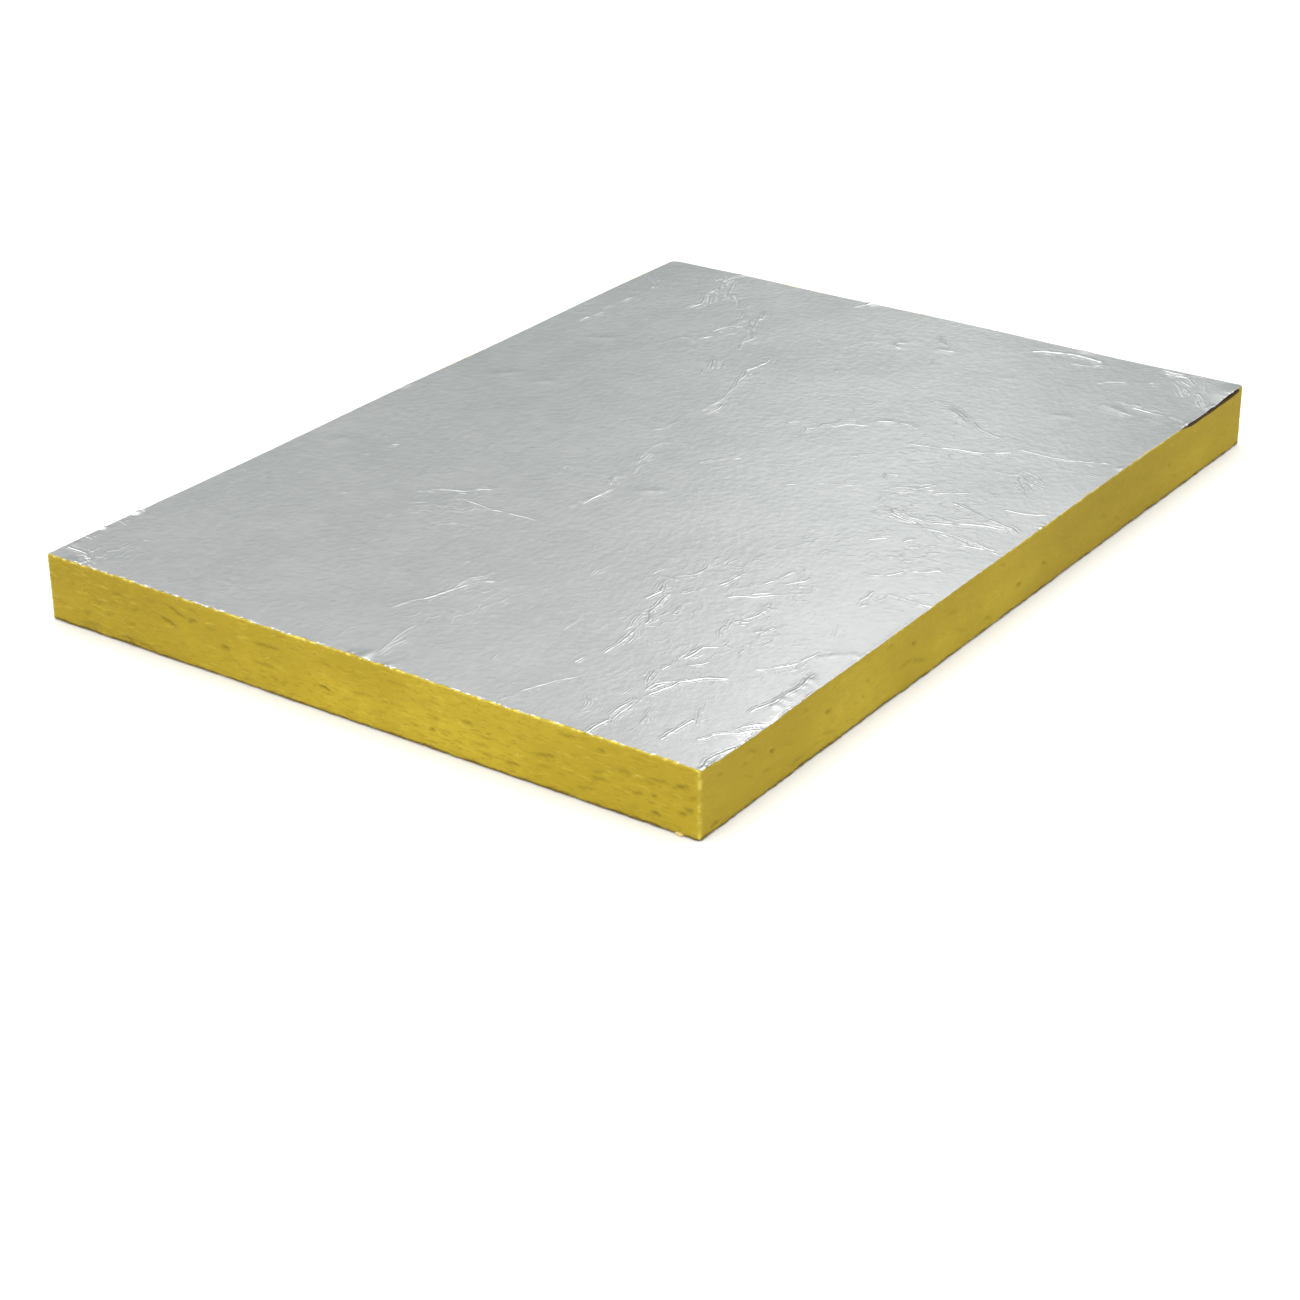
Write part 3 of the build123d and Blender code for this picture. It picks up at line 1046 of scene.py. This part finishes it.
def creaseFields(x, y, settings):       # height, signed distance from a crease, strength of its lines
    # a small sideways drift, so that no crease runs straight
    driftX = 0.7 * np.sin(x * 0.21 + 1.3 * np.sin(y * 0.13))
    driftY = 0.7 * np.sin(y * 0.23 + 1.1 * np.sin(x * 0.17))
    rising, least = settings["ends"]
    sway, turns = settings["sway"]
    lastLine, fading = settings["lineReach"]
    heights, crossing, lined = np.zeros(len(x)), np.full(len(x), settings["away"]), np.zeros(len(x))
    for form, route, where in everyCrease(x, y):
        height, half, trough, lines, width, _ = creaseForms[form]
        distance, side, run = nearestOnRoute(x[where] + driftX[where], y[where] + driftY[where], route)
        ends = least + (1 - least) * np.clip(run / rising, 0, 1)
        uneven = 1 - sway + sway * np.sin(run * turns + route[0][0])
        groove = ridge(side * distance - settings["trough"] * half, half)
        heights[where] += height * ends * uneven * (ridge(distance, half) - trough * groove)
        if lines:
            away = distance / width
            closer = away < np.abs(crossing[where])
            crossing[where] = np.where(closer, side * away, crossing[where])
            strength = lines * np.clip(run / settings["lineEnds"], 0, 1)
            strength *= 1 - settings["lineSway"] * (1 - uneven)
            strength *= np.clip((lastLine - away) / fading, 0, 1)
            lined[where] = np.where(closer, strength, lined[where])
    return heights, crossing, lined


# Where the foil's edges are lifted, by side: centre along it in mm from the near-left corner,
# half length, mm of lift, and how far in it reaches
edgeLifts = {
    "leftEnd": [
        (289, 8, 0.8, 20), (300, 5, 0.5, 10), (266, 6, 0.6, 8), (575, 12, 0.7, 6),
    ],
    "nearSide": [
        (817, 34, 0.9, 22), (778, 10, 0.7, 6), (731, 12, 0.5, 6), (612, 9, 0.5, 5), (8, 16, 1.2, 4),
    ],
    "farSide": [
        (96, 8, 1.0, 6), (60, 6, 0.8, 5), (430, 14, 0.4, 8),
    ],
    "rightEnd": [
        (374, 9, 0.7, 8), (150, 12, 0.5, 8), (520, 10, 0.4, 7),
    ],
}
# Where the edge is turned down over the wool: centre, half length, mm outwards and down
turnedDown = {
    "leftEnd": [
        (577, 5, 1.5, 1.6), (566, 5, 1.2, 1.2), (552, 8, 1.4, 1.0), (540, 4, 1.2, 1.2), (521, 4, 1.4, 1.2),
        (508, 4, 1.2, 1.0), (495, 4, 1.3, 1.2), (475, 5, 1.3, 1.0), (467, 4, 1.3, 1.4), (455, 3, 1.5, 0.6),
        (447, 4, 1.2, 1.0), (437, 4, 1.3, 1.2), (429, 3, 1.0, 0.8), (420, 6, 1.3, 1.2), (391, 7, 1.2, 1.0),
        (371, 5, 1.2, 0.9), (355, 3, 1.1, 0.9), (328, 5, 1.3, 1.2), (320, 3, 1.2, 1.0), (264, 7, 1.6, 1.5),
        (183, 8, 1.2, 0.8), (160, 3, 1.1, 0.8),
    ],
    "nearSide": [
        (6, 9, 0.9, 1.4), (22, 10, 0.8, 1.0), (42, 12, 0.6, 0.8), (66, 9, 0.5, 0.8), (92, 12, 0.5, 0.6),
        (122, 12, 0.4, 0.5), (160, 10, 0.4, 0.5), (204, 12, 0.4, 0.5), (298, 6, 0.4, 0.5),
        (455, 6, 1.1, 0.8), (470, 4, 1.1, 0.8), (615, 8, 1.2, 0.8), (640, 4, 1.0, 0.8), (693, 4, 1.0, 0.8),
        (730, 8, 1.4, 1.4), (781, 6, 1.5, 1.2), (818, 4, 1.2, 1.4),
    ],
    "farSide": [
        (84, 4, 1.2, 1.2), (210, 6, 1.0, 0.9), (515, 6, 1.0, 0.9), (640, 8, 1.1, 1.0), (720, 6, 1.1, 1.0),
        (330, 5, 1.1, 1.0),
    ],
    "rightEnd": [
        (66, 5, 1.0, 0.9), (120, 6, 1.1, 1.0), (245, 6, 1.0, 0.9), (318, 5, 1.1, 0.9), (470, 5, 1.2, 1.2),
        (556, 7, 1.2, 1.0),
    ],
}
# Crumpled patches: centre, half sizes along x and y, and strength from 0 to 1
crumpled = [
    (6, 1, 22, 6, 0.7), (40, 0, 36, 4, 0.35), (8, 572, 16, 26, 0.55), (30, 596, 40, 6, 0.5),
    (4, 288, 8, 16, 0.8), (3, 262, 6, 12, 0.6), (778, 2, 16, 5, 0.8), (731, 2, 14, 4, 0.6),
    (812, 3, 22, 6, 0.6), (612, 3, 12, 4, 0.6), (837, 375, 8, 14, 0.7), (96, 598, 14, 5, 0.6),
    (836, 594, 12, 12, 0.5), (4, 326, 10, 8, 0.4), (475, 2, 14, 4, 0.5), (820, 60, 24, 34, 0.2),
    (200, 66, 34, 40, 0.2), (475, 118, 34, 34, 0.25), (545, 150, 34, 50, 0.2), (372, 62, 34, 26, 0.2),
]
# Where fine wrinkles run along the length, and across it, laid out the same way
wrinkled = {
    "alongWrinkles": [
        (205, 96, 120, 56, 1.0), (150, 60, 90, 60, 0.6), (215, 160, 130, 70, 0.8), (60, 110, 80, 60, 0.4),
        (330, 140, 110, 80, 0.5), (110, 290, 110, 60, 0.6), (30, 560, 50, 50, 0.8),
        (90, 420, 110, 80, 0.35), (740, 470, 120, 80, 0.25), (560, 360, 150, 50, 0.2),
        (760, 320, 80, 60, 0.3), (440, 320, 120, 70, 0.25), (260, 250, 160, 70, 0.2),
    ],
    "acrossWrinkles": [
        (450, 100, 110, 110, 0.7), (560, 150, 150, 150, 0.4), (370, 60, 80, 80, 0.6),
        (640, 200, 130, 130, 0.4), (600, 50, 90, 60, 0.5), (735, 60, 60, 90, 0.7), (815, 60, 40, 90, 0.6),
        (245, 400, 80, 100, 0.6), (600, 300, 140, 90, 0.2), (300, 20, 60, 40, 0.4),
        (780, 240, 80, 140, 0.2), (330, 330, 80, 80, 0.2), (500, 260, 160, 90, 0.22),
        (680, 420, 120, 90, 0.15), (420, 460, 200, 120, 0.12), (150, 450, 140, 120, 0.2),
    ],
}


def patchWeights(x, y, patches):
    weights = np.zeros(len(x))
    for cx, cy, halfX, halfY, strength in patches:
        weights = np.maximum(weights, strength * fade(np.hypot((x - cx) / halfX, (y - cy) / halfY), 1.0))
    return weights


def liftedEdges(x, y, setback):
    heights = np.zeros(len(x))
    for side, lifts in edgeLifts.items():
        depth, along = fromSide(x, y, side, setback)
        for centre, half, lift, reach in lifts:
            narrow = half * np.clip(1 - 0.6 * depth / reach, 0.3, 1)
            heights += lift * fade(along - centre, narrow) * fade(np.maximum(depth, 0), reach)
    return heights


def turnedEdges(x, y, settings):        # the mm that each point of a turned-down edge moves
    moves = {axis: np.zeros(len(x)) for axis in "XYZ"}
    start, length, share = settings["overlapFade"]
    depth, along = fromSide(x, y, "nearSide", settings["setback"])
    overlap = settings["nearOverlap"] * (1 - np.clip((along - start) / length, 0, share))
    moves["Y"] -= overlap * fade(np.maximum(depth, 0), 6.0)
    for side, turns in turnedDown.items():
        depth, along = fromSide(x, y, side, settings["setback"])
        axis, sign = outward[side]
        teeth = 0.55 + 0.45 * np.sin(along * 2.3 + 3 * np.sin(along * 0.7))
        for centre, half, out, down in turns:
            near = fade(along - centre, half) * teeth
            moves[axis] += 0.6 * sign * out * near * fade(np.maximum(depth, 0), 3.0)
            moves["Z"] -= 0.5 * down * near * fade(np.maximum(depth, 0), 1.3)
    return moves


def roundCorners(x, y, settings, moves):        # adds the mm that points near a corner move in
    for right, far, name in ((0, 0, "corner"), (1, 0, "corner"), (0, 1, "corner"), (1, 1, "farCorner")):
        reach = settings["setback"] + settings[name]
        dx = x - (slabLength - reach if right else reach)
        dy = y - (slabWidth - reach if far else reach)
        beyond = ((dx > 0) == bool(right)) & ((dy > 0) == bool(far))
        square = np.maximum(np.abs(dx), np.abs(dy))
        scale = square / np.maximum(np.hypot(dx, dy), 1e-6) - 1
        moves["X"] += np.where(beyond, dx * scale, 0)
        moves["Y"] += np.where(beyond, dy * scale, 0)


def makeFoilSheet(settings):
    setback = settings["setback"]
    bpy.ops.object.select_all(action="DESELECT")
    sizes = slabLength - 2 * setback, slabWidth - 2 * setback
    bpy.ops.mesh.primitive_grid_add(
        x_subdivisions=round(sizes[0] / settings["gridStep"]),
        y_subdivisions=round(sizes[1] / settings["gridStep"]),
        size=1, location=spot(slabLength / 2, slabWidth / 2, foilTop),
    )
    sheet = settle(bpy.context.object, "foil_facing_sheet", (sizes[0] * mm, sizes[1] * mm, 1))
    for creaseBand, edgeBand in zip(settings["creaseBand"], settings["edgeBand"]):
        x, y, _ = faceCentres(sheet).T
        pick(sheet, "FACE", nearCrease(x, y, creaseBand) | (fromEdges(x, y, setback) < edgeBand))
        bpy.ops.mesh.subdivide(number_cuts=1)
        finishEdit()

    # its edge is drawn down, and a coarser underside closes it
    edit(sheet, "EDGE", "DESELECT")
    selectOpenEdges()
    drop = {"value": (0, 0, -settings["thickness"] * mm)}
    bpy.ops.mesh.extrude_region_move(TRANSFORM_OT_translate=drop)
    finishEdit()
    addBroadFace(sheet, foilTop - settings["thickness"], settings["underMargin"], settings["underStep"])
    faceOutward(sheet)
    print("foil:", len(sheet.data.polygons), "faces before its creases")
    return sheet


def creaseFoil(sheet, settings, lattice):
    x, y, z = pointsOf(sheet).T
    setback, wavy = settings["setback"], settings["wavyEdge"]
    inside = fromEdges(x, y, setback)
    folds, crossing, lined = creaseFields(x, y, creasing)
    moves = turnedEdges(x, y, settings)
    roundCorners(x, y, settings, moves)
    top = z > foilTop - 0.5 * settings["thickness"]
    crumple = paintGroup(sheet, "crumpled", patchWeights(x, y, crumpled))
    inner = paintGroup(sheet, "inner", top * np.clip(inside / 12, 0, 1))
    hidden = paintGroup(sheet, "hidden", ~top * np.clip((inside - 3) / 5, 0, 1))
    ends = paintGroup(sheet, "ends", fade(np.minimum(x, slabLength - x), 5.0))
    sides = paintGroup(sheet, "sides", fade(np.minimum(y, slabWidth - y), 5.0))
    leftEdge = paintGroup(sheet, "left_edge", fade(np.maximum(x - setback, 0), 5.0))
    displace(sheet, settings["raggedEnd"], "X", leftEdge, clouds("foil_left_edge", 0.006, 3), middle=0.36)
    displace(sheet, wavy, "X", ends, clouds("foil_cut_ends", 0.012))
    displace(sheet, wavy, "Y", sides, clouds("foil_cut_sides", 0.014))
    displace(sheet, settings["pebble"], "Z", inner, clouds("foil_pebble", 0.013, 1))
    displace(sheet, -settings["underRise"], "Z", hidden)
    displace(sheet, settings["crumple"], "Z", crumple, clouds("foil_crumple", 0.0042), middle=0.45)
    shift(sheet, "Z", folds)
    shift(sheet, "Z", liftedEdges(x, y, setback) + moves["Z"] - rolledDown(x, y))
    shift(sheet, "X", moves["X"])
    shift(sheet, "Y", moves["Y"])
    waveTop(sheet, unevenness, lattice)
    sheet.vertex_groups.clear()
    wrinkles = {name: patchWeights(x, y, patches) for name, patches in wrinkled.items()}
    keepAttributes(sheet, crossing=crossing, lined=lined, **wrinkles)
    smooth(sheet, 80)
    print("foil:", sum(map(len, creases.values())), "creases,",
          sum(map(len, [*edgeLifts.values(), *turnedDown.values()])), "lifted or turned spots")


foilFinish = {
    "metal": (0.815, 0.82, 0.82, 1.0),
    "dull": (0.785, 0.792, 0.79, 1.0),
    "cloudy": (0.775, 0.782, 0.785, 1.0),
    "glint": (0.86, 0.86, 0.855, 1.0),
    "nick": (0.68, 0.69, 0.695, 1.0),
    "creaseHighlight": (0.93, 0.93, 0.93, 1.0),
    # the fine lines of a crease: distance from its middle in mm, height in mm, how often they break
    "lines": [(0.0, 0.42, 70.0), (2.3, 0.14, 95.0), (-2.4, 0.10, 120.0)],
    "lineWidth": 1.1,
    "lineDrift": 1.8,
    # relief in mm, and scale in repeats per metre
    "pebble": (0.15, 170.0),
    "grain": (0.04, 380.0),
    "wrinkle": (0.17, 66.0),
    "furrow": (0.11, 120.0),
    # how the wrinkles of each direction are turned, in degrees, and stretched
    "directions": {"alongWrinkles": (12, 1.6), "acrossWrinkles": (76, 2.0)},
    "nickTurn": 48,             # degrees that the tiny nicks are turned
}


def wrinklePattern(finish, place, settings):        # thin ridges that break off, and furrows between
    height, scale = settings["wrinkle"]
    furrow, furrowScale = settings["furrow"]
    crest = 1 - finish.step(abs(finish.fractal(place, scale, 2.0) - 0.5), 0.0, 0.032)
    broken = finish.step(finish.fractal(place, 0.55 * scale, 1.0), 0.44, 0.58)
    return height * crest * broken + furrow * finish.fractal(place, furrowScale, 2.0)


def foilMaterial(settings):
    material, finish = newMaterial("aluminium_foil_facing")
    step, place = finish.step, finish.places()
    crossing, lined = finish.attribute("crossing"), finish.attribute("lined")

    drift = settings["lineDrift"] * (finish.fractal(place, 120.0, 2.0) - 0.5)
    lines = 0.0
    for middle, height, breaks in settings["lines"]:
        line = 1 - step(abs(crossing + drift - middle), 0.0, settings["lineWidth"])
        broken = step(finish.fractal(place, breaks, 1.0), 0.38, 0.54)
        lines = lines + height * line * (broken if middle else 0.35 + 0.65 * broken)
    lines = lined * lines
    relief = lines
    for name, (turn, stretch) in settings["directions"].items():
        drawn = finish.stretched(place, (1 / stretch, 1.0, 1.0), turn)
        relief = relief + finish.attribute(name) * wrinklePattern(finish, drawn, settings)
    for name in ("pebble", "grain"):
        height, scale = settings[name]
        relief = relief + height * finish.fractal(place, scale, 2.0)

    mottle = finish.fractal(place, 19.0, 4.0, 0.55)
    flecked = finish.fractal(place, 88.0, 4.0, 0.6)
    nicks = finish.fractal(finish.stretched(place, (0.5, 1.0, 1.0), settings["nickTurn"]), 260.0, 2.0)
    patchy = 0.12 + 0.4 * step(finish.fractal(place, 16.0, 2.0), 0.46, 0.62)
    colour = finish.layers(settings["dull"], [
        (step(mottle, 0.36, 0.66), settings["metal"]),
        (step(nicks, 0.59, 0.67) * patchy, settings["nick"]),
        (step(1 - nicks, 0.60, 0.68) * patchy, settings["glint"]),
        (step(flecked, 0.50, 0.66) * 0.7, settings["cloudy"]),
        (step(1 - flecked, 0.52, 0.68) * 0.5, settings["glint"]),
        # painted highlight along the fine lines of the creases
        (step(lines, 0.02, 0.2) * 0.6, settings["creaseHighlight"]),
    ])
    finish.surface({
        "Base Color": colour, "Metallic": 1.0, "Roughness": 0.18 + 0.05 * mottle,
        "Normal": finish.bump(relief, mm, 1.0),
    })
    return material


# Loose fibres of the cut edges, and a tuft that sticks out below the near corner

fibres = {
    "count": 380,
    "length": (2.0, 7.5),       # mm
    "radius": 0.07,             # mm
    "sections": 6,
    "bends": (70, 140, 250),    # degrees over the length of each pattern
    "lean": 0.55,               # how far they stand off the wool, from 0 to 1
    "rooted": 0.3,              # mm inside the cut side that they start
    # how they are shared out among the sides, and the heights in mm that they come from
    "shares": {"leftEnd": 5, "nearSide": 6, "rightEnd": 4, "farSide": 4},
    "bands": ((0.8, 3.0), (woolTop - 0.6, woolTop - 2.0), (3, 50)),
    "floor": (1.5, 0.15),       # mm below which they bend to lie flat, and where the lowest lie
    "seed": 5,
}
tuft = {"place": (0.2, 16.5, 1.1), "sizes": (1.6, 3.6, 1.1), "roughness": 2.0, "fibres": 16}


def makeFibre(settings, bend):      # a tapering three-sided thread 1 m long, for scaling
    bpy.ops.object.select_all(action="DESELECT")
    bpy.ops.mesh.primitive_cone_add(vertices=3, radius1=1.0, radius2=0.25, depth=1.0,
                                    end_fill_type="NGON", location=(0, 0, 0.5))
    fibre = settle(bpy.context.object, "fibre_pattern", (1, 1, 1))
    first, second = edgeEnds(fibre)
    pick(fibre, "EDGE", np.abs(first - second)[:, 2] * mm > 0.5)
    bpy.ops.mesh.subdivide(number_cuts=settings["sections"] - 1)
    bpy.ops.mesh.select_all(action="SELECT")
    slim = settings["radius"] / (0.5 * sum(settings["length"]))
    bpy.ops.transform.resize(value=(slim, slim, 1), center_override=(0, 0, 0))
    finishEdit()
    applyModifier(fibre, "SIMPLE_DEFORM", deform_method="BEND", deform_axis="X", angle=math.radians(bend))
    return fibre


def fibreRoot(settings, rng):       # a place on the cut sides, mostly at their edges, and its way out
    sides, shares = zip(*settings["shares"].items())
    side = rng.choices(sides, shares)[0]
    height = rng.choice([rng.uniform(*band) for band in settings["bands"]])
    length = slabWidth if side in ("leftEnd", "rightEnd") else slabLength
    along = rng.uniform(4, length - 4)
    axis, sign = outward[side]
    near = settings["rooted"]
    if axis == "X":
        return spot(near if sign < 0 else slabLength - near, along, height), Vector((sign, 0, 0))
    return spot(along, near if sign < 0 else slabWidth - near, height), Vector((0, sign, 0))


def makeFibres(settings, wisp):
    rng = random.Random(settings["seed"])
    patterns = [makeFibre(settings, bend) for bend in settings["bends"]]
    lean = settings["lean"]
    strands = []
    for index in range(settings["count"] + wisp["fibres"]):
        if index < settings["count"]:
            place, away = fibreRoot(settings, rng)
        else:
            x, y, z = wisp["place"]
            place, away = spot(x, y + rng.uniform(-3, 3), z), Vector((-1, 0, 0))
        across = Vector((-away.y, away.x, rng.uniform(-0.4, 0.4))) * rng.choice((-1, 1))
        heading = across.normalized() * (1 - lean) + away * lean * rng.random()
        only(rng.choice(patterns))
        bpy.ops.object.duplicate()
        strand = bpy.context.object
        strand.location = place
        turn = Quaternion(heading.normalized(), rng.uniform(-math.pi, math.pi))
        strand.rotation_mode = "QUATERNION"
        strand.rotation_quaternion = turn @ heading.to_track_quat("Z", "Y")
        strand.scale = [rng.uniform(*settings["length"]) * mm] * 3
        strands.append(strand)
    remove(*patterns)
    only(strands[0])
    for strand in strands:
        strand.select_set(True)
    bpy.ops.object.join()
    bpy.ops.object.transform_apply(location=True, rotation=True, scale=True)
    joined = bpy.context.object
    joined.name = "loose_fibres"
    low, rest = settings["floor"]
    height = pointsOf(joined)[:, 2]
    resting = np.where(height < low, rest + (low - rest) * np.exp((height - low) / (low - rest)), height)
    shift(joined, "Z", resting - height)
    smooth(joined, 80)
    print("fibres:", len(strands), "loose ones on the cut sides")
    return joined


def makeTuft(settings):
    bpy.ops.object.select_all(action="DESELECT")
    bpy.ops.mesh.primitive_ico_sphere_add(subdivisions=4, radius=mm, location=spot(*settings["place"]))
    clump = settle(bpy.context.object, "pulled_tuft", settings["sizes"])
    displace(clump, settings["roughness"], texture=clouds("tuft_lumps", 0.0018))
    smooth(clump, 80)
    print("tuft: in place")
    return clump


fibreFinish = {
    "thread": (0.74, 0.60, 0.16, 1.0),
    "tuftPale": (0.93, 0.80, 0.52, 1.0),
    "tuftDeep": (0.70, 0.50, 0.16, 1.0),
}


def fibreMaterial(settings):
    material, finish = newMaterial("loose_glass_fibre")
    place = finish.places()
    lumps = finish.fractal(place, 900.0, 3.0, 0.6)
    patches = finish.fractal(place, 40.0, 2.0)
    paler = finish.mix(finish.step(patches, 0.4, 0.65) * 0.5, settings["thread"], settings["tuftPale"])
    colour = finish.mix(finish.step(lumps, 0.40, 0.62), settings["tuftDeep"], paler)
    finish.surface({
        "Base Color": colour, "Roughness": 0.85, "Normal": finish.bump(lumps, 0.0008, 0.7),
        "Specular IOR Level": 0.2,
    })
    return material


print("frame and settings read")
lattice = addLattice(unevenness)
block = makeWoolBlock(wool)
roughenWool(block, wool, lattice)
block.data.materials.append(woolMaterial(woolFinish))
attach(block, "root")
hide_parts("wool_slab")

sheet = makeFoilSheet(foil)
creaseFoil(sheet, foil, lattice)
sheet.data.materials.append(foilMaterial(foilFinish))
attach(sheet, "root")
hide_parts("foil_facing")
remove(lattice)

threadFinish = fibreMaterial(fibreFinish)
for piece in (makeFibres(fibres, tuft), makeTuft(tuft)):
    piece.data.materials.clear()
    piece.data.materials.append(threadFinish)
    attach(piece, "root")
